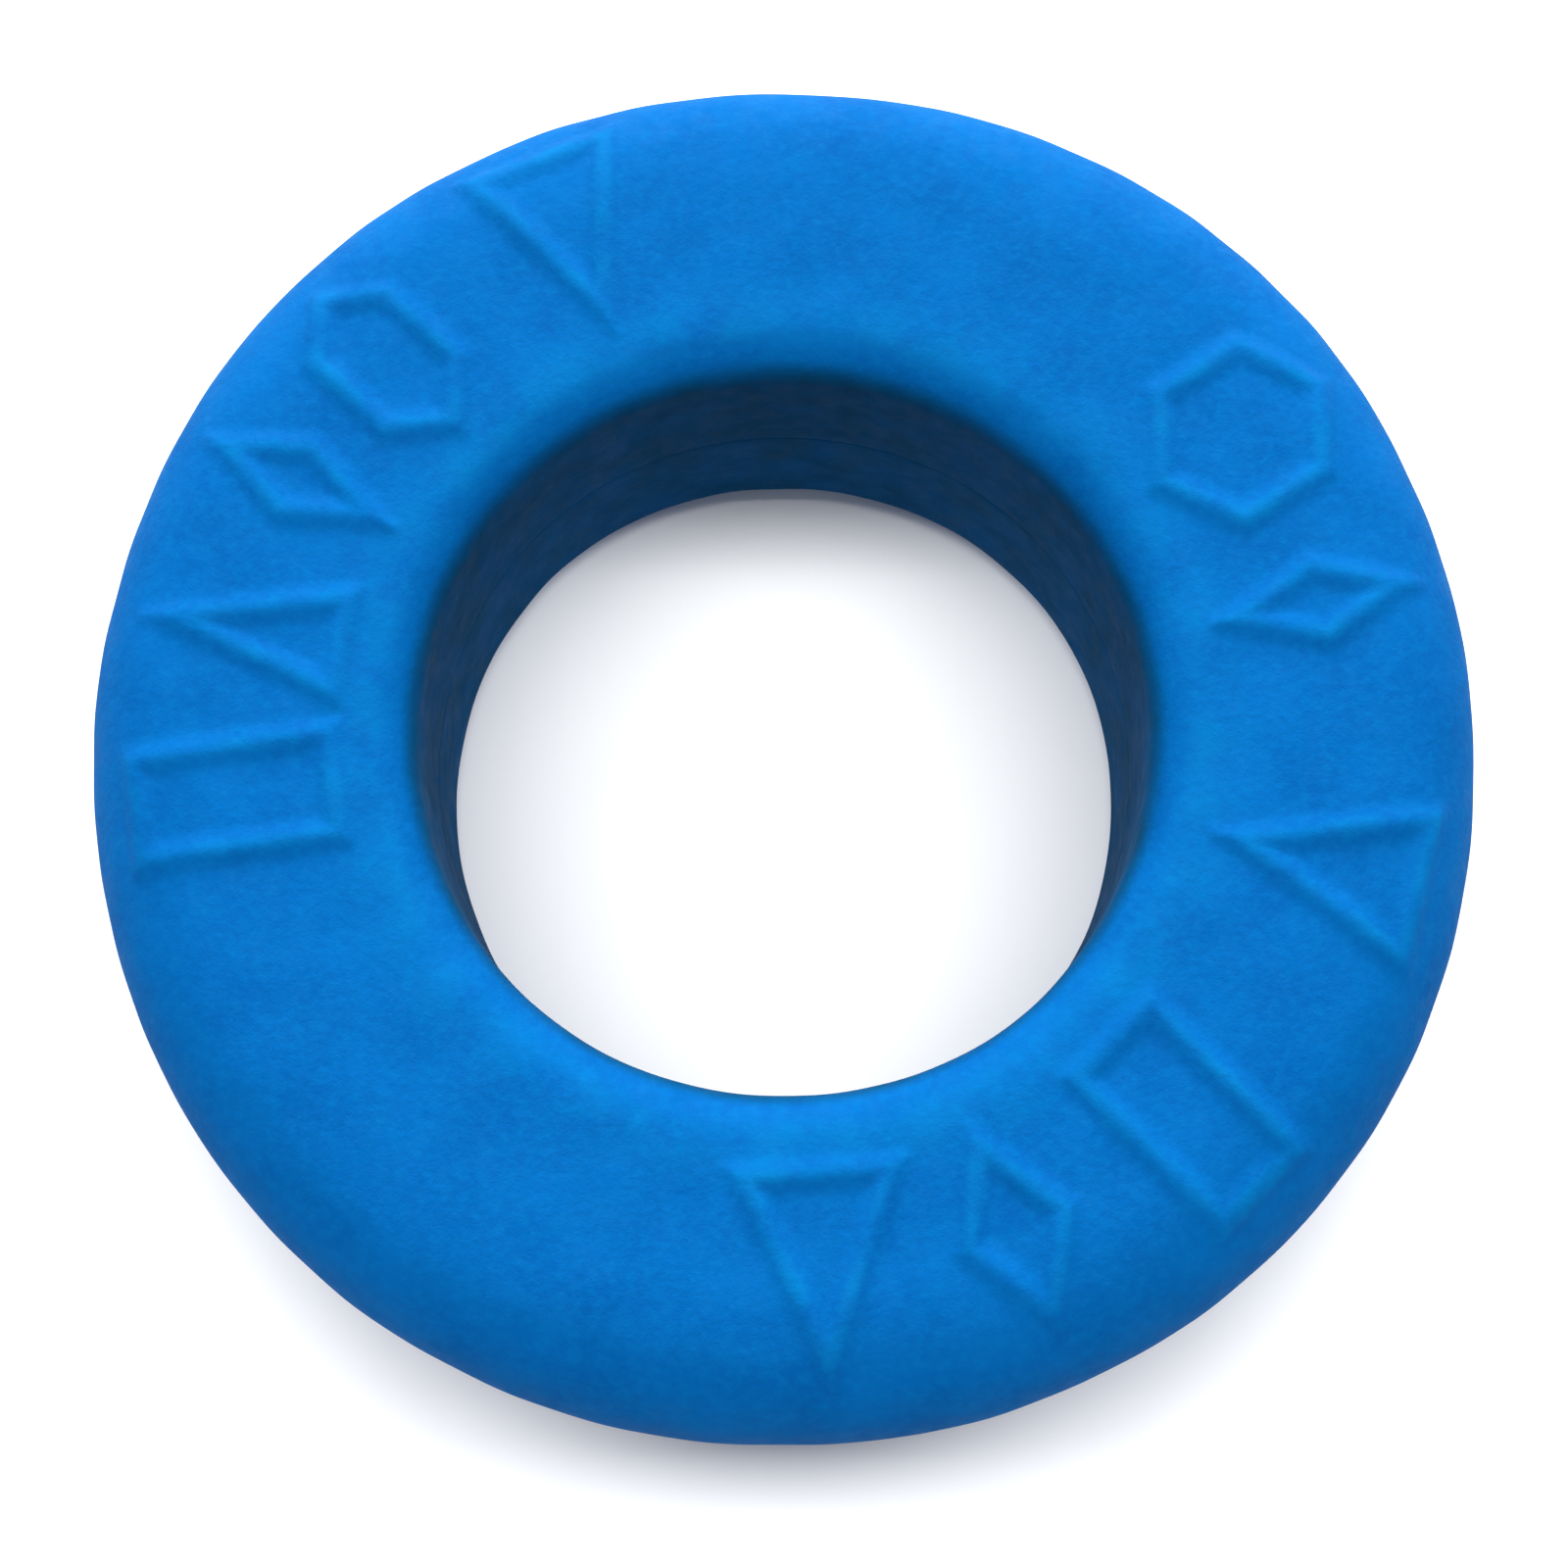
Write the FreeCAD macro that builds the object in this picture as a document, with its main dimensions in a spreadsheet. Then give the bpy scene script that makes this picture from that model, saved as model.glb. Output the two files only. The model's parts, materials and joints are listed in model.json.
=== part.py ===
"""Soft throwing ring: two moulded skins joined at mid height around a foam core.

The ring lies flat. The origin is the centre of the underside, +Z is up along the ring's axis,
and the raised marks on the upper face are laid out clockwise from +Y.
"""
import FreeCAD, Part
import math
import os

import Sketcher

SIZES = {
    "outer_diameter": 150.0,
    "bore_diameter": 78.0,
    "thickness": 44.0,
    "wall": 3.0,
    "rim_land": 20.0,  # straight band around the rim, at mid height
    "rim_round": 16.0,  # how far the rounding reaches in from the rim
    "rim_lead_radius": 36.0,  # the wide arc with which the rounding leaves the face
    "bore_land": 33.0,  # straight band in the bore, at mid height
    "bore_round": 7.0,  # how far the rounding reaches out from the bore
    "bore_lead_radius": 16.0,
    "core_gap": 0.1,
    "channel_width": 1.4,  # the groove in each lip, which the seam bead fills
    "channel_height": 2.6,  # both lips' grooves together
    "bead_gap": 0.05,
    "relief": 0.6,
    "relief_root": 0.6,  # how deep a mark's foot is sunk in the skin
    "stroke": 2.3,
    "mark_radius": 57.8,
    "mark_height": 23.0,
    "narrow_mark": 10.0,
    "medium_mark": 13.0,
    "wide_mark": 18.5,
}

# Corner points of each outline, as fractions of half its width and half its height.
OUTLINES = {
    "diamond": [(0, -1), (1, 0), (0, 1), (-1, 0)],
    "block": [(-1, -1), (1, -1), (1, 1), (-1, 1)],
    "peak": [(-1, -1), (1, -1), (0, 1)],
    "valley": [(0, -1), (1, 1), (-1, 1)],
    "cell": [(0, -1), (1, -0.5), (1, 0.5), (0, 1), (-1, 0.5), (-1, -0.5)],
}

# Degrees clockwise from +Y, outline, width.
MARKS = [
    (57, "cell", "wide_mark"),
    (77, "diamond", "narrow_mark"),
    (105, "valley", "wide_mark"),
    (135, "block", "medium_mark"),
    (156, "diamond", "medium_mark"),
    (176, "peak", "wide_mark"),
    (262, "block", "medium_mark"),
    (280, "peak", "medium_mark"),
    (297, "diamond", "narrow_mark"),
    (313, "cell", "medium_mark"),
    (337, "valley", "wide_mark"),
]

# The middle of each lip, from the ring's axis: the number and the expression that drives it.
LIPS = {
    "outer": (
        (SIZES["outer_diameter"] - SIZES["wall"]) / 2,
        "(Sizes.outer_diameter - Sizes.wall) / 2",
    ),
    "inner": (
        (SIZES["bore_diameter"] + SIZES["wall"]) / 2,
        "(Sizes.bore_diameter + Sizes.wall) / 2",
    ),
}

START, END = 1, 2  # the ends of a sketch line or arc
SKETCH_ORIGIN = (-1, 1)
SKETCH_X_AXIS = -1

doc = FreeCAD.newDocument("throwing_ring")


def make_sheet():
    """Put the driving dimensions in the document's spreadsheet."""
    sheet = doc.addObject("Spreadsheet::Sheet", "Sizes")
    for row, (alias, value) in enumerate(SIZES.items(), start=1):
        sheet.set(f"A{row}", alias)
        sheet.set(f"B{row}", str(value))
        sheet.setAlias(f"B{row}", alias)
    doc.recompute()


# Sketches


def origin_feature(body, role):
    """Return the body's own origin plane of this role."""
    for feature in body.Origin.OriginFeatures:
        if feature.Role == role:
            return feature
    raise ValueError(role)


def section_sketch(body, name):
    """Make a sketch where x is the distance from the ring's axis and y is up."""
    sketch = body.newObject("Sketcher::SketchObject", name)
    sketch.AttachmentSupport = [(origin_feature(body, "XZ_Plane"), "")]
    sketch.MapMode = "FlatFace"
    return sketch


def add_line(sketch, start, end):
    """Add a straight line between two points of the sketch."""
    sketch.addGeometry(Part.LineSegment(FreeCAD.Vector(*start, 0), FreeCAD.Vector(*end, 0)))


def add_arc(sketch, centre, radius, start_angle, end_angle):
    """Add an arc, its angles in radians anticlockwise from the sketch's x axis."""
    circle = Part.Circle(FreeCAD.Vector(*centre, 0), FreeCAD.Vector(0, 0, 1), radius)
    sketch.addGeometry(Part.ArcOfCircle(circle, start_angle, end_angle))


def bind(sketch, constraint, expression):
    """Add a dimension to the sketch and drive it from the spreadsheet."""
    index = sketch.addConstraint(constraint)
    sketch.setExpression(f"Constraints[{index}]", expression)


def place_point(sketch, geometry, point, across=None, up=None):
    """Drive a sketch point's distances from the sketch's origin by expressions."""
    drawn = sketch.getPoint(geometry, point)
    if across:
        bind(sketch, Sketcher.Constraint("DistanceX", *SKETCH_ORIGIN, geometry, point, drawn.x), across)
    if up:
        bind(sketch, Sketcher.Constraint("DistanceY", *SKETCH_ORIGIN, geometry, point, drawn.y), up)


def corner_arcs(reach, height, lead):
    """Size the two tangent arcs that round a corner of the section.

    The wide lead arc meets the flat face and the edge arc meets the straight band, which starts
    `reach` further out and `height` lower. Returns the edge arc's radius and the angle where the
    two arcs meet.
    """
    edge = (reach**2 + height**2 - 2 * height * lead) / (2 * (reach - lead))
    meet = math.atan2(lead - height, reach - edge)
    return edge, meet


def half_section(body, name, inset, inset_value):
    """Draw the upper half of the ring's section, moved in from the skin by the inset."""
    rim = SIZES["outer_diameter"] / 2 - inset_value
    bore = SIZES["bore_diameter"] / 2 + inset_value
    top = SIZES["thickness"] / 2 - inset_value
    rim_land = SIZES["rim_land"] / 2
    bore_land = SIZES["bore_land"] / 2
    rim_reach = SIZES["rim_round"] - inset_value
    bore_reach = SIZES["bore_round"] - inset_value
    rim_lead = SIZES["rim_lead_radius"] - inset_value
    bore_lead = SIZES["bore_lead_radius"] - inset_value
    rim_edge, rim_meet = corner_arcs(rim_reach, top - rim_land, rim_lead)
    bore_edge, bore_meet = corner_arcs(bore_reach, top - bore_land, bore_lead)

    sketch = section_sketch(body, name)
    add_line(sketch, (rim, 0), (rim, rim_land))
    add_arc(sketch, (rim - rim_edge, rim_land), rim_edge, 0, rim_meet)
    add_arc(sketch, (rim - rim_reach, top - rim_lead), rim_lead, rim_meet, math.pi / 2)
    add_line(sketch, (rim - rim_reach, top), (bore + bore_reach, top))
    add_arc(sketch, (bore + bore_reach, top - bore_lead), bore_lead, math.pi / 2, math.pi - bore_meet)
    add_arc(sketch, (bore + bore_edge, bore_land), bore_edge, math.pi - bore_meet, math.pi)
    add_line(sketch, (bore, bore_land), (bore, 0))
    add_line(sketch, (bore, 0), (rim, 0))
    rim_band, rim_arc, face, bore_arc, bore_band, base = 0, 2, 3, 4, 6, 7

    for line in range(bore_band):
        sketch.addConstraint(Sketcher.Constraint("Tangent", line, END, line + 1, START))
    sketch.addConstraint(Sketcher.Constraint("Coincident", bore_band, END, base, START))
    sketch.addConstraint(Sketcher.Constraint("Coincident", base, END, rim_band, START))
    sketch.addConstraint(Sketcher.Constraint("PointOnObject", base, START, SKETCH_X_AXIS))
    for line in (rim_band, bore_band):
        sketch.addConstraint(Sketcher.Constraint("Vertical", line))
    for line in (face, base):
        sketch.addConstraint(Sketcher.Constraint("Horizontal", line))

    flat_rim = "Sizes.outer_diameter / 2 - Sizes.rim_round"
    flat_bore = "Sizes.bore_diameter / 2 + Sizes.bore_round"
    place_point(sketch, rim_band, END, f"Sizes.outer_diameter / 2 - ({inset})", "Sizes.rim_land / 2")
    place_point(sketch, bore_band, START, f"Sizes.bore_diameter / 2 + ({inset})", "Sizes.bore_land / 2")
    place_point(sketch, face, START, flat_rim, f"Sizes.thickness / 2 - ({inset})")
    place_point(sketch, face, END, flat_bore)
    bind(sketch, Sketcher.Constraint("Radius", rim_arc, rim_lead), f"Sizes.rim_lead_radius - ({inset})")
    bind(sketch, Sketcher.Constraint("Radius", bore_arc, bore_lead), f"Sizes.bore_lead_radius - ({inset})")
    return sketch


def lip_rectangle(body, name, lip, low, high, gap):
    """Draw the rectangle of a seam bead, or of its channel, at the middle of a lip.

    Each argument is a pair: the number and the expression that drives it.
    """
    half_width = SIZES["channel_width"] / 2 - gap[0]
    left = lip[0] - half_width
    right = lip[0] + half_width
    corners = [(left, low[0]), (right, low[0]), (right, high[0]), (left, high[0])]
    sketch = section_sketch(body, name)
    closed_outline(sketch, corners)
    bottom, right_side, top, left_side = range(4)
    for line in (bottom, top):
        sketch.addConstraint(Sketcher.Constraint("Horizontal", line))
    for line in (right_side, left_side):
        sketch.addConstraint(Sketcher.Constraint("Vertical", line))
    reach = f"(Sizes.channel_width / 2 - ({gap[1]}))"
    place_point(sketch, bottom, START, f"{lip[1]} - {reach}", low[1])
    place_point(sketch, top, START, f"{lip[1]} + {reach}", high[1])
    return sketch


def closed_outline(sketch, corners):
    """Add straight lines through the corners, back to the first, with their ends joined."""
    count = len(corners)
    for number, corner in enumerate(corners):
        add_line(sketch, corner, corners[(number + 1) % count])
    for number in range(count):
        sketch.addConstraint(Sketcher.Constraint("Coincident", number, END, (number + 1) % count, START))


# Turned features


def turn(body, kind, name, sketch):
    """Add a full-turn Revolution or Groove of the sketch about the ring's axis."""
    feature = body.newObject(f"PartDesign::{kind}", name)
    feature.Profile = sketch
    feature.ReferenceAxis = (sketch, ["V_Axis"])
    feature.Angle = 360.0
    sketch.Visibility = False
    return feature


def lift(feature):
    """Raise a piece drawn about the ring's middle so that the ring lies on the XY plane."""
    feature.setExpression("Placement.Base.z", "Sizes.thickness / 2")


def half_skin(name):
    """Make one moulded half of the skin, open downwards, with a channel in each lip."""
    body = doc.addObject("PartDesign::Body", name)
    turn(body, "Revolution", f"{name}_outside", half_section(body, f"{name}_outline", "0", 0.0))
    hollow = half_section(body, f"{name}_hollow_outline", "Sizes.wall", SIZES["wall"])
    turn(body, "Groove", f"{name}_hollow", hollow)
    for side, lip in LIPS.items():
        top = (SIZES["channel_height"] / 2, "Sizes.channel_height / 2")
        sketch = lip_rectangle(body, f"{name}_{side}_channel_outline", lip, (0.0, "0"), top, (0.0, "0"))
        turn(body, "Groove", f"{name}_{side}_channel", sketch)
    return body


def make_core():
    """Make the foam core, a little smaller all round than the hollow in the two skins."""
    body = doc.addObject("PartDesign::Body", "foam_core")
    inset = SIZES["wall"] + SIZES["core_gap"]
    sketch = half_section(body, "core_outline", "Sizes.wall + Sizes.core_gap", inset)
    upper_half = turn(body, "Revolution", "core_upper_half", sketch)
    doc.recompute()
    mirrored = body.newObject("PartDesign::Mirrored", "core_lower_half")
    mirrored.Originals = [upper_half]
    mirrored.MirrorPlane = (origin_feature(body, "XY_Plane"), [""])
    body.Tip = mirrored
    lift(body)
    return body


def make_bead(side):
    """Make the bead of flexible adhesive that fills the facing channels of one lip."""
    name = f"{side}_seam_bead"
    body = doc.addObject("PartDesign::Body", name)
    half_height = SIZES["channel_height"] / 2 - SIZES["bead_gap"]
    height_expression = "(Sizes.channel_height / 2 - Sizes.bead_gap)"
    low = (-half_height, f"-{height_expression}")
    high = (half_height, height_expression)
    gap = (SIZES["bead_gap"], "Sizes.bead_gap")
    outline = lip_rectangle(body, f"{name}_outline", LIPS[side], low, high, gap)
    turn(body, "Revolution", f"{name}_ring", outline)
    lift(body)
    return body


# Raised marks


def make_mark(number, bearing, outline, width):
    """Make one raised outline as a prism that stands through the upper face."""
    name = f"mark_{number:02d}"
    centre = SIZES["mark_radius"]
    half_width = SIZES[width] / 2
    half_height = SIZES["mark_height"] / 2
    points = OUTLINES[outline]
    sketch = doc.addObject("Sketcher::SketchObject", f"{name}_outline")
    closed_outline(sketch, [(across * half_width, centre + up * half_height) for across, up in points])
    for line, (across, up) in enumerate(points):
        place_point(sketch, line, START, f"{across} * Sizes.{width} / 2",
                    f"Sizes.mark_radius + {up} * Sizes.mark_height / 2")
    sketch.Placement.Rotation = FreeCAD.Rotation(FreeCAD.Vector(0, 0, 1), -bearing)

    band = doc.addObject("Part::Offset2D", f"{name}_band")
    band.Source = sketch
    band.Mode = "Pipe"
    band.Join = "Intersection"
    band.Fill = True
    band.setExpression("Value", "-Sizes.stroke")

    prism = doc.addObject("Part::Extrusion", name)
    prism.Base = band
    prism.DirMode = "Custom"
    prism.Dir = FreeCAD.Vector(0, 0, 1)
    prism.Solid = True
    prism.setExpression("LengthFwd", "Sizes.thickness")
    return prism


def relief_layer():
    """Make the layer that the marks fill: from just inside the upper skin to their tops."""
    body = doc.addObject("PartDesign::Body", "relief_layer")
    tops = half_section(body, "relief_tops_outline", "-Sizes.relief", -SIZES["relief"])
    turn(body, "Revolution", "relief_tops", tops)
    root = half_section(body, "relief_root_outline", "Sizes.relief_root", SIZES["relief_root"])
    turn(body, "Groove", "relief_root", root)
    return body


def make_upper_skin():
    """Make the upper half of the skin with its raised marks."""
    marks = [make_mark(number, *mark) for number, mark in enumerate(MARKS, start=1)]
    prisms = doc.addObject("Part::MultiFuse", "mark_prisms")
    prisms.Shapes = marks
    relief = doc.addObject("Part::MultiCommon", "mark_relief")
    relief.Shapes = [prisms, relief_layer()]
    skin = doc.addObject("Part::MultiFuse", "upper_skin")
    skin.Shapes = [half_skin("upper_half"), relief]
    lift(skin)
    return skin


def make_lower_skin():
    """Make the plain lower half: the same moulding turned over, with no marks."""
    skin = half_skin("lower_skin")
    skin.Placement.Rotation = FreeCAD.Rotation(FreeCAD.Vector(1, 0, 0), 180)
    lift(skin)
    return skin


def check_document(pieces):
    """Stop if any feature failed or any piece has no valid shape."""
    failed = [item.Name for item in doc.Objects if {"Invalid", "Error"} & set(item.State)]
    failed += [piece.Label for piece in pieces if piece.Shape.isNull() or not piece.Shape.isValid()]
    if failed:
        raise RuntimeError(f"failed: {failed}")


make_sheet()
pieces = [make_upper_skin(), make_lower_skin(), make_core(), make_bead("outer"), make_bead("inner")]
doc.recompute()
check_document(pieces)

os.makedirs("parts", exist_ok=True)
for piece in pieces:
    piece.Shape.exportStep(f"parts/{piece.Label}.step")
    print(f"{piece.Label}: {piece.Shape.Volume / 1000:.1f} cm3, {len(piece.Shape.Solids)} solid")
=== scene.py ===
"""Soft blue throwing ring: detailed skins over the CAD frame, studio light and camera."""

import json
import math

import bpy
import numpy as np
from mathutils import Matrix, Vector


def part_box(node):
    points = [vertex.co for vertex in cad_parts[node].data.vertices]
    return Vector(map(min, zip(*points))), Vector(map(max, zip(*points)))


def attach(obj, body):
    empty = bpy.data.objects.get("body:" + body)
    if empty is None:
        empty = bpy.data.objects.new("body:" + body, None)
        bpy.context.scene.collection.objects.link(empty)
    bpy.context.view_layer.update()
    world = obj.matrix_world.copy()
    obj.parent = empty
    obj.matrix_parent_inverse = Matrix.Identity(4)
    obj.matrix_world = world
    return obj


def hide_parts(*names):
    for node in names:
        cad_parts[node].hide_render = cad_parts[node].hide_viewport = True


MM = 0.001

# The section, as in the CAD model.
WALL = 3.0 * MM
RIM_HALF_LAND = 10.0 * MM
RIM_ROUND = 16.0 * MM
RIM_LEAD_RADIUS = 36.0 * MM
BORE_HALF_LAND = 16.5 * MM
BORE_ROUND = 7.0 * MM
BORE_LEAD_RADIUS = 16.0 * MM
CHANNEL_WIDTH = 1.4 * MM
CHANNEL_DEPTH = 1.3 * MM
SEAM_ROUND = 0.2 * MM  # rounding of each lip's outer corner, which shows as the parting line

# The raised marks, as in the CAD model.
STROKE = 2.3 * MM
MARK_RADIUS = 57.8 * MM
MARK_HEIGHT = 23.0 * MM
NARROW_MARK = 10.0 * MM
MEDIUM_MARK = 13.0 * MM
WIDE_MARK = 18.5 * MM
MARK_SOFTNESS = 2.2 * MM  # width of the slope at a mark's edge

OUTLINES = {
    "diamond": [(0, -1), (1, 0), (0, 1), (-1, 0)],
    "block": [(-1, -1), (1, -1), (1, 1), (-1, 1)],
    "peak": [(-1, -1), (1, -1), (0, 1)],
    "valley": [(0, -1), (1, 1), (-1, 1)],
    "cell": [(0, -1), (1, -0.5), (1, 0.5), (0, 1), (-1, 0.5), (-1, -0.5)],
}

# Degrees clockwise from +Y, outline, width.
MARKS = [
    (57, "cell", WIDE_MARK),
    (77, "diamond", NARROW_MARK),
    (105, "valley", WIDE_MARK),
    (135, "block", MEDIUM_MARK),
    (156, "diamond", MEDIUM_MARK),
    (176, "peak", WIDE_MARK),
    (262, "block", MEDIUM_MARK),
    (280, "peak", MEDIUM_MARK),
    (297, "diamond", NARROW_MARK),
    (313, "cell", MEDIUM_MARK),
    (337, "valley", WIDE_MARK),
]

PAINTED_SHADE_REACH = 1.6 * MM  # how far the painted shade on the bore's wall reaches out onto its lip
LIP_START = 1.5 * MM  # where the painted highlight on the bore's lip starts, out from the bore's wall
LIP_PEAK = 4.5 * MM
LIP_END = 12.0 * MM
# strength of the painted highlight on the bore's lip; MARK_WEAR is real wear on the marks' tops
LIP_HIGHLIGHT = 0.4
MARK_WEAR = 0.5

# The soft moulding is a little out of round and its skin a little uneven.
SQUARENESS = 0.004  # how far the outline bows in and out, as a share of the radius
SQUARE_SIDES = 4
UNEVENNESS = 0.05 * MM
UNEVEN_WAVES = 24
UNEVEN_SHORTEST = 7 * MM
UNEVEN_LONGEST = 30 * MM
UNEVEN_SEED = 11

# How far apart the mesh's vertices are along the section, and how many go around the ring.
FINE_STEP = 0.5 * MM
COARSE_STEP = 0.9 * MM
LAND_STEP = 1.5 * MM
INNER_STEP = 2.0 * MM
TURNS_UPPER = 700
TURNS_LOWER = 480
SEAM_STEPS = 3  # how many steps of the parting line's rounding make up its radius
FACING_UP = 0.2  # a surface whose normal rises by more than this can carry marks

# The vertex attributes: one carries real wear on the marks' tops together with a painted highlight
# on the bore's lip, the other the painted shade on the bore's wall.
WEAR_AND_HIGHLIGHT = "wear_and_highlight"
PAINTED_SHADE = "painted_shade"

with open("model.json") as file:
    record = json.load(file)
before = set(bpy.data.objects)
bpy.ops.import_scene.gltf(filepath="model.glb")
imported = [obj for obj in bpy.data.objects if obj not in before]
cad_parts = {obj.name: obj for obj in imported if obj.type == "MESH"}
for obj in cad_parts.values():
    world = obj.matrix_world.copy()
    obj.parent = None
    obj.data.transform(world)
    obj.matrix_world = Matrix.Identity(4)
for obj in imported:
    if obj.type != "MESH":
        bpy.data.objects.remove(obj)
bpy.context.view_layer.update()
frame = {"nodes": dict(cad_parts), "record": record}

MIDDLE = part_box("upper_skin")[0][2]
THICKNESS = 2 * MIDDLE
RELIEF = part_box("upper_skin")[1][2] - THICKNESS
RIM_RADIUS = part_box("lower_skin")[1][0]
BORE_RADIUS = frame["record"]["mounts"][0]["dims"]["r_mm"] * MM


# The section of one skin


def corner_arcs(reach, height, lead):
    """Radius of the edge arc and the angle where it meets the lead arc, as in the CAD model."""
    edge = (reach**2 + height**2 - 2 * height * lead) / (2 * (reach - lead))
    meet = math.atan2(lead - height, reach - edge)
    return edge, meet


def steps(length, spacing):
    """How many steps of about this spacing divide a length."""
    return max(1, round(length / spacing))


def arc_points(centre, radius, start, end, spacing):
    """Points and outward normals along an arc, without its first point."""
    count = steps(abs(end - start) * radius, spacing)
    angles = np.linspace(start, end, count + 1)[1:]
    normals = np.column_stack([np.cos(angles), np.sin(angles)])
    return np.array(centre) + radius * normals, normals


def line_points(start, end, normal, spacing):
    """Points and outward normals along a straight stretch, without its first point."""
    start = np.array(start)
    end = np.array(end)
    count = steps(np.linalg.norm(end - start), spacing)
    shares = np.linspace(0, 1, count + 1)[1:, None]
    points = start + (end - start) * shares
    return points, np.tile(normal, (count, 1))


def outer_profile(inset, spacing, seam_round):
    """The section's outline from the bore's seam, over the face, to the rim's seam.

    Points are (distance from the axis, height above mid height). The inset moves the outline in
    from the skin's surface.
    """
    rim = RIM_RADIUS - inset
    bore = BORE_RADIUS + inset
    top = THICKNESS / 2 - inset
    rim_reach = RIM_ROUND - inset
    bore_reach = BORE_ROUND - inset
    rim_lead = RIM_LEAD_RADIUS - inset
    bore_lead = BORE_LEAD_RADIUS - inset
    rim_edge, rim_meet = corner_arcs(rim_reach, top - RIM_HALF_LAND, rim_lead)
    bore_edge, bore_meet = corner_arcs(bore_reach, top - BORE_HALF_LAND, bore_lead)
    half_turn = math.pi
    quarter_turn = math.pi / 2
    seam_step = seam_round / SEAM_STEPS

    parts = [(np.array([[bore + seam_round, 0.0]]), np.array([[0.0, -1.0]]))]
    if seam_round:
        centre = (bore + seam_round, seam_round)
        parts.append(arc_points(centre, seam_round, -quarter_turn, -half_turn, seam_step))
    parts.append(line_points((bore, seam_round), (bore, BORE_HALF_LAND), (-1.0, 0.0), LAND_STEP))
    centre = (bore + bore_edge, BORE_HALF_LAND)
    parts.append(arc_points(centre, bore_edge, half_turn, half_turn - bore_meet, spacing))
    centre = (bore + bore_reach, top - bore_lead)
    parts.append(arc_points(centre, bore_lead, half_turn - bore_meet, quarter_turn, spacing))
    parts.append(line_points((bore + bore_reach, top), (rim - rim_reach, top), (0.0, 1.0), spacing))
    centre = (rim - rim_reach, top - rim_lead)
    parts.append(arc_points(centre, rim_lead, quarter_turn, rim_meet, spacing))
    centre = (rim - rim_edge, RIM_HALF_LAND)
    parts.append(arc_points(centre, rim_edge, rim_meet, 0, spacing))
    parts.append(line_points((rim, RIM_HALF_LAND), (rim, seam_round), (1.0, 0.0), LAND_STEP))
    if seam_round:
        centre = (rim - seam_round, seam_round)
        parts.append(arc_points(centre, seam_round, 0, -quarter_turn, seam_step))
    return np.vstack([part[0] for part in parts]), np.vstack([part[1] for part in parts])


def channel_profile(centre, direction):
    """The four corners of the bead's channel in a lip, walked along the direction."""
    near = centre - direction * CHANNEL_WIDTH / 2
    far = centre + direction * CHANNEL_WIDTH / 2
    return [(near, 0.0), (near, CHANNEL_DEPTH), (far, CHANNEL_DEPTH), (far, 0.0)]


# The skins' meshes


def distance_to_outline(points, corners):
    """Signed distance from points to a convex outline given anticlockwise, negative inside."""
    nearest = np.full(len(points), np.inf)
    inside = np.full(len(points), -np.inf)
    for start, end in zip(corners, np.roll(corners, -1, axis=0)):
        edge = end - start
        offset = points - start
        along = np.clip(offset @ edge / (edge @ edge), 0, 1)
        nearest = np.minimum(nearest, np.linalg.norm(offset - along[:, None] * edge, axis=1))
        outward = np.array([edge[1], -edge[0]]) / np.linalg.norm(edge)
        inside = np.maximum(inside, offset @ outward)
    return np.where(inside < 0, -nearest, nearest)


def smooth_step(value):
    """Rise smoothly from 0 to 1 while the value goes from 0 to 1."""
    value = np.clip(value, 0, 1)
    return value * value * (3 - 2 * value)


def mark_relief(points):
    """Height of the raised marks at points (x, y) of the upper face."""
    height = np.zeros(len(points))
    for bearing, outline, width in MARKS:
        angle = math.radians(bearing)
        across = np.array([math.cos(angle), -math.sin(angle)])
        up = np.array([math.sin(angle), math.cos(angle)])
        local = np.column_stack([points @ across, points @ up - MARK_RADIUS])
        near = np.max(np.abs(local), axis=1) < MARK_HEIGHT
        corners = np.array(OUTLINES[outline]) * [width / 2, MARK_HEIGHT / 2]
        distance = distance_to_outline(local[near], corners)
        depth_in_band = np.minimum(-distance, distance + STROKE)
        height[near] += RELIEF * smooth_step(depth_in_band / MARK_SOFTNESS + 0.5)
    return height


def unevenness(points):
    """Gentle waves of the moulded surface at points (x, y, z)."""
    random = np.random.default_rng(UNEVEN_SEED)
    total = np.zeros(len(points))
    for _ in range(UNEVEN_WAVES):
        direction = random.normal(size=3)
        direction /= np.linalg.norm(direction)
        length = random.uniform(UNEVEN_SHORTEST, UNEVEN_LONGEST)
        phase = random.uniform(0, 2 * math.pi)
        total += np.sin(points @ direction * 2 * math.pi / length + phase)
    return total * UNEVENNESS / math.sqrt(UNEVEN_WAVES / 2)


def wear_and_highlight_share(lift, radius):
    """How much the skin is lightened, from 0 to 1: real wear on the marks' tops and a painted
    highlight on the lip of the bore.
    """
    tops = smooth_step((lift - RELIEF / 2) / (RELIEF / 2))
    reach = radius - BORE_RADIUS
    inner = smooth_step((reach - LIP_START) / (LIP_PEAK - LIP_START))
    outer = smooth_step((LIP_END - reach) / (LIP_END - LIP_PEAK))
    return np.maximum(MARK_WEAR * tops, LIP_HIGHLIGHT * inner * outer)


def painted_shade_share(radius):
    """How much painted shade darkens the skin, from 0 to 1: most on the wall of the bore."""
    return smooth_step((BORE_RADIUS + PAINTED_SHADE_REACH - radius) / PAINTED_SHADE_REACH)


def set_attribute(piece, name, values):
    """Store one number for each vertex of the piece."""
    attribute = piece.data.attributes.new(name, "FLOAT", "POINT")
    attribute.data.foreach_set("value", values.ravel())


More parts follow.
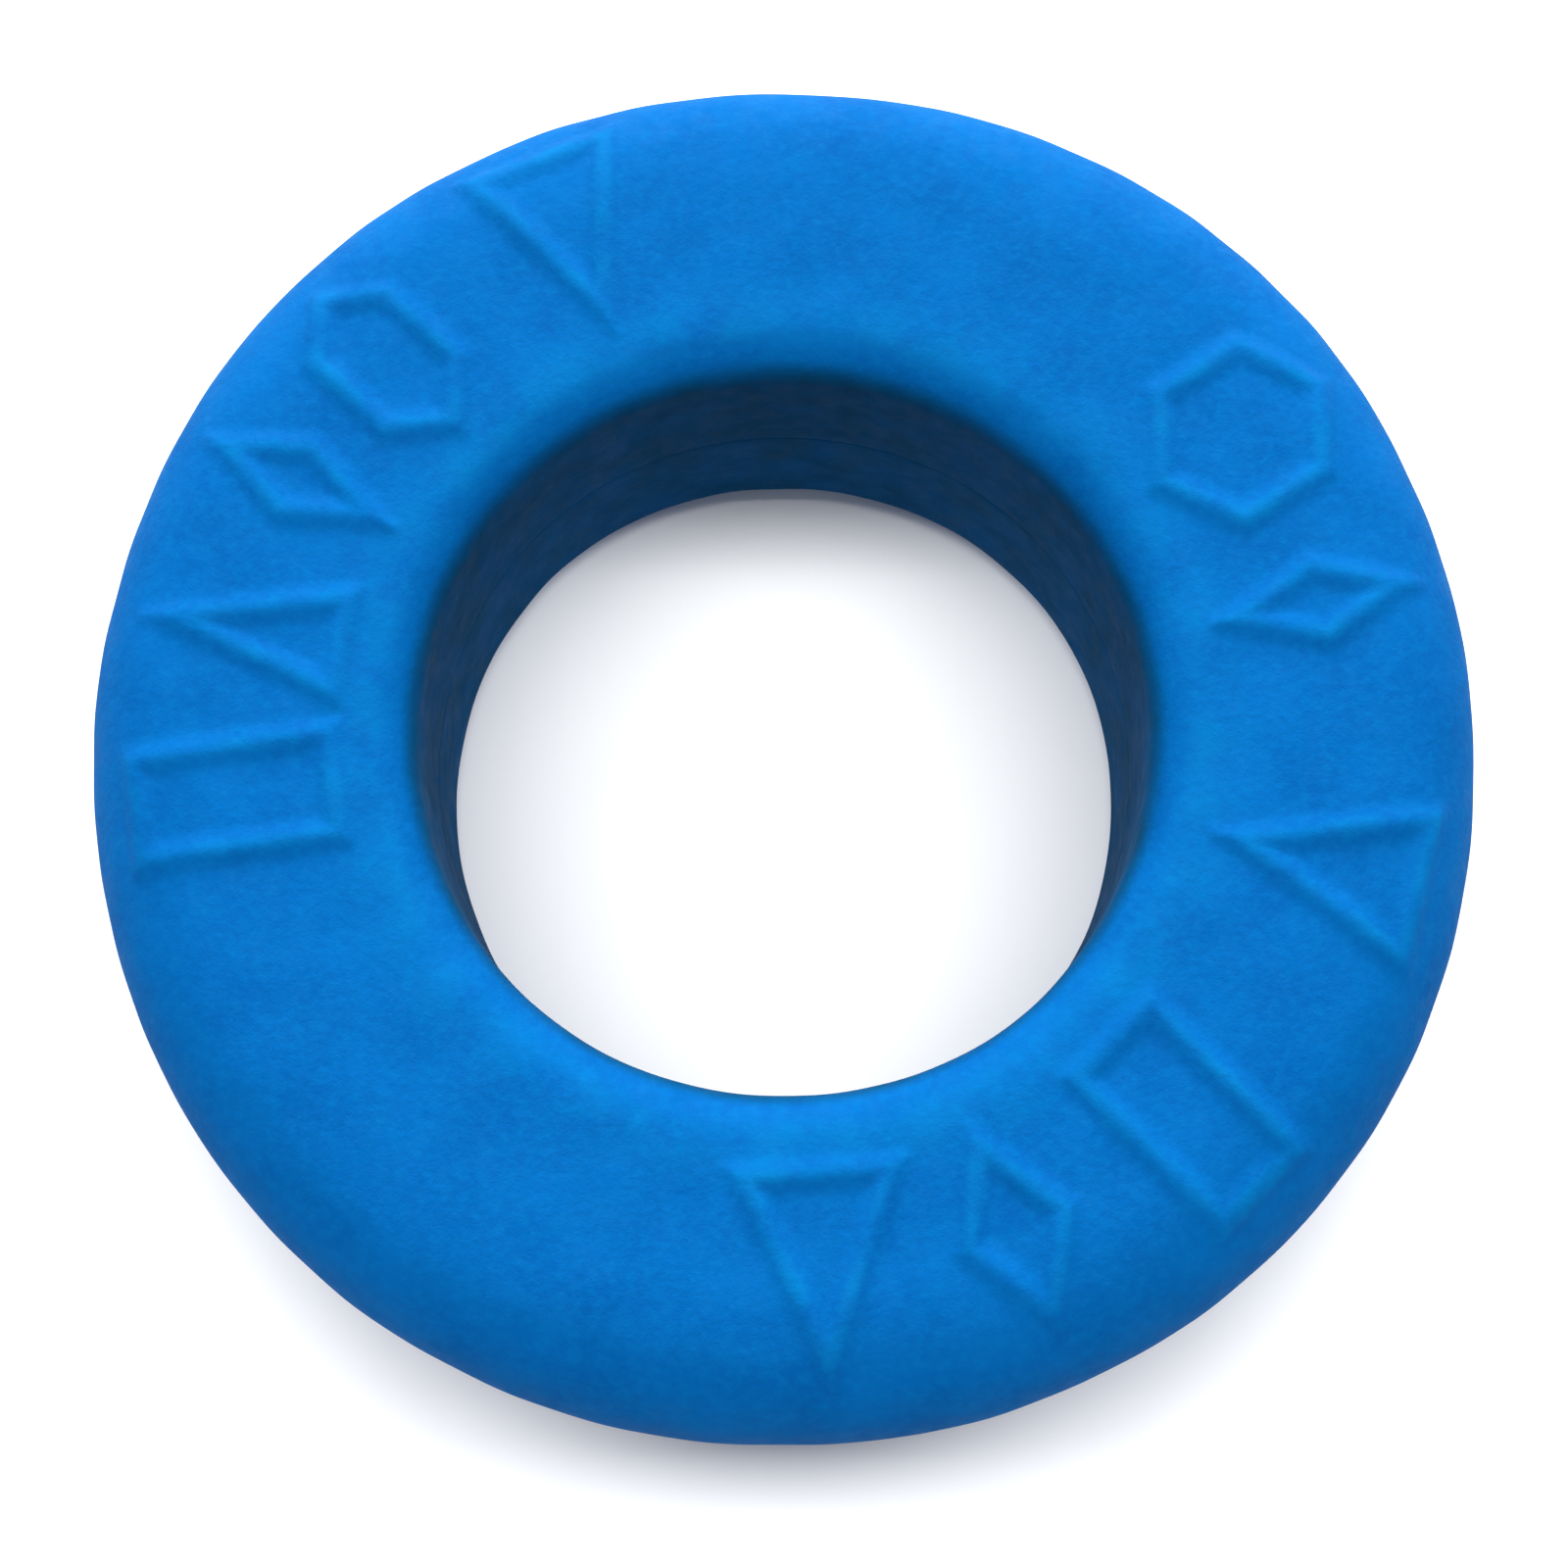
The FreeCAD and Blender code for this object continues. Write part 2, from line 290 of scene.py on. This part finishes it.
def make_skin(name, turns, marked, up):
    """Make one half of the skin as a closed turned mesh.

    Up is 1 for the upper half and -1 for the lower one.
    """
    outer, normals = outer_profile(0.0, FINE_STEP if marked else COARSE_STEP, SEAM_ROUND)
    inner, _ = outer_profile(WALL, INNER_STEP, 0.0)
    rim_channel = channel_profile(RIM_RADIUS - WALL / 2, -1)
    bore_channel = channel_profile(BORE_RADIUS + WALL / 2, -1)
    profile = np.vstack([outer, rim_channel, inner[::-1], bore_channel])
    rows = len(profile)
    outer_rows = len(outer)
    normals = np.vstack([normals, np.zeros((rows - outer_rows, 2))])

    angles = np.linspace(0, 2 * math.pi, turns, endpoint=False)
    around = np.column_stack([np.cos(angles), np.sin(angles)])
    radius = profile[:, 0][:, None] * np.ones(turns)
    height = profile[:, 1][:, None] * np.ones(turns)
    flat = np.column_stack([
        (radius * around[:, 0]).ravel(),
        (radius * around[:, 1]).ravel(),
        (height * up).ravel(),
    ])
    is_outer = np.repeat(np.arange(rows) < outer_rows, turns)
    lift = np.where(is_outer, unevenness(flat), 0.0)
    lift *= smooth_step(np.abs(flat[:, 2]) / RIM_HALF_LAND)
    if marked:
        faces_up = np.repeat(normals[:, 1] > FACING_UP, turns)
        lift[faces_up] += mark_relief(flat[faces_up, :2])
    lift = lift.reshape(rows, turns)
    stretch = np.where(np.arange(rows) < outer_rows, SQUARENESS, 0.0)
    stretch = stretch[:, None] * np.cos(SQUARE_SIDES * angles)
    radius = radius * (1 - stretch) + lift * normals[:, 0][:, None]
    height = height + lift * normals[:, 1][:, None]
    vertices = np.column_stack([
        (radius * around[:, 0]).ravel(),
        (radius * around[:, 1]).ravel(),
        np.maximum(MIDDLE + up * height, 0.0).ravel(),  # flat where it rests on the floor
    ])
    piece = add_turned_mesh(name, vertices, rows, turns, up < 0)
    is_outer = is_outer.reshape(rows, turns)
    # real wear on the marks' tops and a painted highlight on the bore's lip
    set_attribute(piece, WEAR_AND_HIGHLIGHT, np.where(is_outer, wear_and_highlight_share(lift, radius), 0.0))
    # painted shade on the bore's wall
    set_attribute(piece, PAINTED_SHADE, np.where(is_outer, painted_shade_share(radius), 0.0))
    return piece


def add_turned_mesh(name, vertices, rows, turns, flip):
    """Join a closed grid of vertices, rows around the section by turns around the ring."""
    row, column = np.meshgrid(np.arange(rows), np.arange(turns), indexing="ij")
    next_row = (row + 1) % rows
    next_column = (column + 1) % turns
    corners = [row * turns + column, row * turns + next_column,
               next_row * turns + next_column, next_row * turns + column]
    if not flip:
        corners.reverse()
    faces = np.stack(corners, axis=-1).reshape(-1, 4)

    mesh = bpy.data.meshes.new(name)
    mesh.vertices.add(len(vertices))
    mesh.vertices.foreach_set("co", vertices.ravel())
    mesh.loops.add(faces.size)
    mesh.loops.foreach_set("vertex_index", faces.ravel())
    mesh.polygons.add(len(faces))
    mesh.polygons.foreach_set("loop_start", np.arange(0, faces.size, 4))
    mesh.polygons.foreach_set("use_smooth", np.ones(len(faces), dtype=bool))
    mesh.update(calc_edges=True)
    mesh.validate()
    piece = bpy.data.objects.new(name, mesh)
    bpy.context.collection.objects.link(piece)
    return piece


# Materials


# The Mix node's sockets when it blends colours.
MIX_SHARE = 0
MIX_FIRST = 6
MIX_SECOND = 7
MIX_RESULT = 2


class Material:
    """A node material being built: a Principled shader and short ways to add nodes to it."""

    def __init__(self, name):
        self.material = bpy.data.materials.new(name)
        self.material.use_nodes = True
        self.nodes = self.material.node_tree.nodes
        self.links = self.material.node_tree.links
        self.shader = self.nodes["Principled BSDF"]
        self.place = self.nodes.new("ShaderNodeTexCoord").outputs["Object"]

    def link(self, source, target):
        self.links.new(source, target)

    def noise(self, size, detail=3.0, roughness=0.55):
        """Noise whose features are about this size, in metres."""
        node = self.nodes.new("ShaderNodeTexNoise")
        node.inputs["Scale"].default_value = 1 / size
        node.inputs["Detail"].default_value = detail
        node.inputs["Roughness"].default_value = roughness
        self.link(self.place, node.inputs["Vector"])
        return node.outputs["Fac"]

    def attribute(self, name):
        """A value from 0 to 1 that the mesh carries at each vertex."""
        node = self.nodes.new("ShaderNodeAttribute")
        node.attribute_name = name
        return node.outputs["Fac"]

    def multiply(self, first, second):
        """Product of two values."""
        node = self.nodes.new("ShaderNodeMath")
        node.operation = "MULTIPLY"
        self.link(first, node.inputs[0])
        self.link(second, node.inputs[1])
        return node.outputs["Value"]

    def cells(self, size):
        """Distance to the nearest of scattered points this far apart, in metres."""
        node = self.nodes.new("ShaderNodeTexVoronoi")
        node.inputs["Scale"].default_value = 1 / size
        self.link(self.place, node.inputs["Vector"])
        return node.outputs["Distance"]

    def span(self, value, low, high, to_low=0.0, to_high=1.0):
        """Map a value from one range to another, clamped."""
        node = self.nodes.new("ShaderNodeMapRange")
        self.link(value, node.inputs["Value"])
        node.inputs["From Min"].default_value = low
        node.inputs["From Max"].default_value = high
        node.inputs["To Min"].default_value = to_low
        node.inputs["To Max"].default_value = to_high
        return node.outputs["Result"]

    def mix(self, share, first, second):
        """Blend two colours, each a socket or a plain colour."""
        node = self.nodes.new("ShaderNodeMix")
        node.data_type = "RGBA"
        self.link(share, node.inputs[MIX_SHARE])
        for number, colour in ((MIX_FIRST, first), (MIX_SECOND, second)):
            socket = node.inputs[number]
            if isinstance(colour, tuple):
                socket.default_value = (*colour, 1.0)
            else:
                self.link(colour, socket)
        return node.outputs[MIX_RESULT]

    def bump(self, value, depth, normal=None):
        """Raise the surface by a value from 0 to 1, times the depth in metres."""
        node = self.nodes.new("ShaderNodeBump")
        node.inputs["Strength"].default_value = 1.0
        node.inputs["Distance"].default_value = depth
        self.link(value, node.inputs["Height"])
        if normal:
            self.link(normal, node.inputs["Normal"])
        return node.outputs["Normal"]

    def set(self, **sockets):
        """Set the shader's own sockets, named with underscores for spaces."""
        for name, value in sockets.items():
            self.shader.inputs[name.replace("_", " ")].default_value = value


SKIN_BLUE = (0.0003, 0.094, 0.318)
SKIN_DEEP = (0.0002, 0.079, 0.282)
SKIN_LIGHT = (0.0006, 0.114, 0.348)
# lighter blue for real wear on the marks' tops and for the painted highlight on the bore's lip
SKIN_RUBBED_AND_LIT = (0.001, 0.150, 0.382)
# painted shade: a dark blue that stands in for the shade on the bore's wall
SKIN_PAINTED_SHADE = (0.0002, 0.048, 0.120)
FOAM_DULL = (0.72, 0.72, 0.66)
FOAM_PALE = (0.84, 0.84, 0.80)
BEAD_DEEP = (0.002, 0.09, 0.33)
BEAD_LIGHT = (0.004, 0.13, 0.42)
PAPER_DULL = (0.93, 0.93, 0.93)
PAPER_PALE = (0.96, 0.96, 0.96)


def skin_material():
    """Matt blue elastomer: mottled, with a fine grain, worn mark tops, a painted highlight on the
    bore's lip and painted shade on the bore's wall.
    """
    skin = Material("skin_blue_elastomer")
    mottle = skin.span(skin.noise(9 * MM, detail=4), 0.35, 0.65)
    colour = skin.mix(mottle, SKIN_DEEP, SKIN_BLUE)
    speckle = skin.span(skin.noise(1.3 * MM, detail=5, roughness=0.65), 0.42, 0.68, 0.0, 0.55)
    colour = skin.mix(speckle, colour, SKIN_LIGHT)
    # lighten with real wear on the marks' tops and a painted highlight on the bore's lip
    wear_and_highlight = skin.attribute(WEAR_AND_HIGHLIGHT)
    patches = skin.span(skin.noise(5 * MM, detail=4), 0.35, 0.65)
    colour = skin.mix(skin.multiply(wear_and_highlight, patches), colour, SKIN_RUBBED_AND_LIT)
    # painted shade: darken the bore's wall with a mottled dark blue
    shade_mottle = skin.span(skin.noise(6 * MM, detail=5, roughness=0.6), 0.35, 0.65, 0.7, 1.0)
    colour = skin.mix(skin.multiply(skin.attribute(PAINTED_SHADE), shade_mottle), colour, SKIN_PAINTED_SHADE)
    skin.link(colour, skin.shader.inputs["Base Color"])
    roughness = skin.span(skin.noise(2.5 * MM), 0.3, 0.7, 0.62, 0.82)
    skin.link(roughness, skin.shader.inputs["Roughness"])
    pebble = skin.bump(skin.noise(0.9 * MM, detail=4), 0.10 * MM)
    grain = skin.bump(skin.noise(0.28 * MM, detail=2), 0.03 * MM, pebble)
    skin.link(grain, skin.shader.inputs["Normal"])
    skin.set(Specular_IOR_Level=0.02)
    return skin.material


def foam_material():
    """Closed-cell foam, off-white with fine cells."""
    foam = Material("core_foam")
    colour = foam.mix(foam.span(foam.noise(4 * MM), 0.35, 0.65), FOAM_DULL, FOAM_PALE)
    foam.link(colour, foam.shader.inputs["Base Color"])
    foam.link(foam.span(foam.noise(1 * MM), 0.3, 0.7, 0.8, 0.95), foam.shader.inputs["Roughness"])
    foam.link(foam.bump(foam.cells(0.6 * MM), 0.15 * MM), foam.shader.inputs["Normal"])
    return foam.material


def bead_material():
    """Flexible adhesive, deep blue and satin, slightly lumpy."""
    bead = Material("seam_adhesive")
    colour = bead.mix(bead.span(bead.noise(2 * MM), 0.35, 0.65), BEAD_DEEP, BEAD_LIGHT)
    bead.link(colour, bead.shader.inputs["Base Color"])
    bead.link(bead.span(bead.noise(1 * MM), 0.3, 0.7, 0.35, 0.55), bead.shader.inputs["Roughness"])
    bead.link(bead.bump(bead.noise(0.8 * MM), 0.05 * MM), bead.shader.inputs["Normal"])
    return bead.material


def floor_material():
    """Pale matt studio paper with a faint fibre."""
    paper = Material("pale_floor")
    colour = paper.mix(paper.span(paper.noise(60 * MM), 0.3, 0.7), PAPER_DULL, PAPER_PALE)
    paper.link(colour, paper.shader.inputs["Base Color"])
    paper.link(paper.bump(paper.noise(0.5 * MM), 0.01 * MM), paper.shader.inputs["Normal"])
    paper.set(Roughness=0.9, Specular_IOR_Level=0.2)
    return paper.material


def paint_node(node, material):
    """Give a CAD node that stays in the scene its material."""
    for material_slot in frame["nodes"][node].material_slots:
        material_slot.material = material


# Stage


FLOOR_HALF = 6.0
SURROUND_STRENGTH = 0.4

# Name, place, size along X, depth (all in metres) and power in watts.
SOFTBOXES = [
    ("overhead_strip", (0.0, 0.12, 1.0), 1.6, 0.3, 15),
    ("far_strip", (0.0, 1.94, 0.54), 2.8, 0.6, 94),
]


def make_floor():
    """Lay a large pale floor under the ring."""
    half = FLOOR_HALF
    corners = [(-half, -half, 0), (half, -half, 0), (half, half, 0), (-half, half, 0)]
    mesh = bpy.data.meshes.new("floor")
    mesh.from_pydata(corners, [], [(0, 1, 2, 3)])
    floor = bpy.data.objects.new("floor", mesh)
    bpy.context.collection.objects.link(floor)
    mesh.materials.append(floor_material())


def add_softbox(name, place, width, depth, power):
    """Add a rectangular area light aimed at the ring, its width along X."""
    data = bpy.data.lights.new(name, "AREA")
    data.shape = "RECTANGLE"
    data.size = width
    data.size_y = depth
    data.energy = power
    light = bpy.data.objects.new(name, data)
    light.location = place
    aim = Vector((0, 0, MIDDLE)) - Vector(place)
    light.rotation_euler = aim.to_track_quat("-Z", "Y").to_euler()
    bpy.context.collection.objects.link(light)


def make_light():
    """Soft studio light: a strip overhead and a low one on the far side, in a plain surround."""
    world = bpy.data.worlds.new("studio")
    bpy.context.scene.world = world
    world.use_nodes = True
    background = world.node_tree.nodes["Background"]
    background.inputs["Color"].default_value = (1, 1, 1, 1)
    background.inputs["Strength"].default_value = SURROUND_STRENGTH
    for softbox in SOFTBOXES:
        add_softbox(*softbox)
    bpy.context.scene.view_settings.view_transform = "Standard"


CAMERA_DISTANCE = 4.0 * RIM_RADIUS
CAMERA_ELEVATION = math.radians(77)
CAMERA_SHIFT = 0.1
RING_RISE = 0.010  # how far the ring's centre is above the picture's, in picture widths
RING_SHARE = 0.848  # the ring's width as a share of the picture's
SENSOR_WIDTH = 36.0  # in millimetres, as the lens is
CLIP_START = 0.01


def make_camera():
    """Look at the ring from above its near side."""
    data = bpy.data.cameras.new("camera")
    camera = bpy.data.objects.new("camera", data)
    bpy.context.collection.objects.link(camera)
    view_depth = RING_SHARE * CAMERA_DISTANCE / (2 * RIM_RADIUS)  # in picture widths
    data.sensor_width = SENSOR_WIDTH
    data.lens = data.sensor_width * view_depth
    data.shift_y = CAMERA_SHIFT
    back = Vector((0, -math.cos(CAMERA_ELEVATION), math.sin(CAMERA_ELEVATION)))
    camera.location = Vector((0, 0, MIDDLE)) + back * CAMERA_DISTANCE
    tilt = math.pi / 2 - CAMERA_ELEVATION - math.atan((CAMERA_SHIFT + RING_RISE) / view_depth)
    camera.rotation_euler = (tilt, 0, 0)
    data.clip_start = CLIP_START
    bpy.context.scene.camera = camera


def add_pieces():
    """Make the two detailed skins, and paint the pieces that stay as the CAD made them."""
    skin = skin_material()
    halves = (
        ("moulded_upper_skin", "upper_skin", TURNS_UPPER, True, 1),
        ("moulded_lower_skin", "lower_skin", TURNS_LOWER, False, -1),
    )
    for name, node, turns, marked, up in halves:
        piece = make_skin(name, turns, marked, up)
        piece.data.materials.append(skin)
        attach(piece, "root")
        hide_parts(node)
    paint_node("foam_core", foam_material())
    bead = bead_material()
    paint_node("outer_seam_bead", bead)
    paint_node("inner_seam_bead", bead)


make_camera()
add_pieces()
make_floor()
make_light()
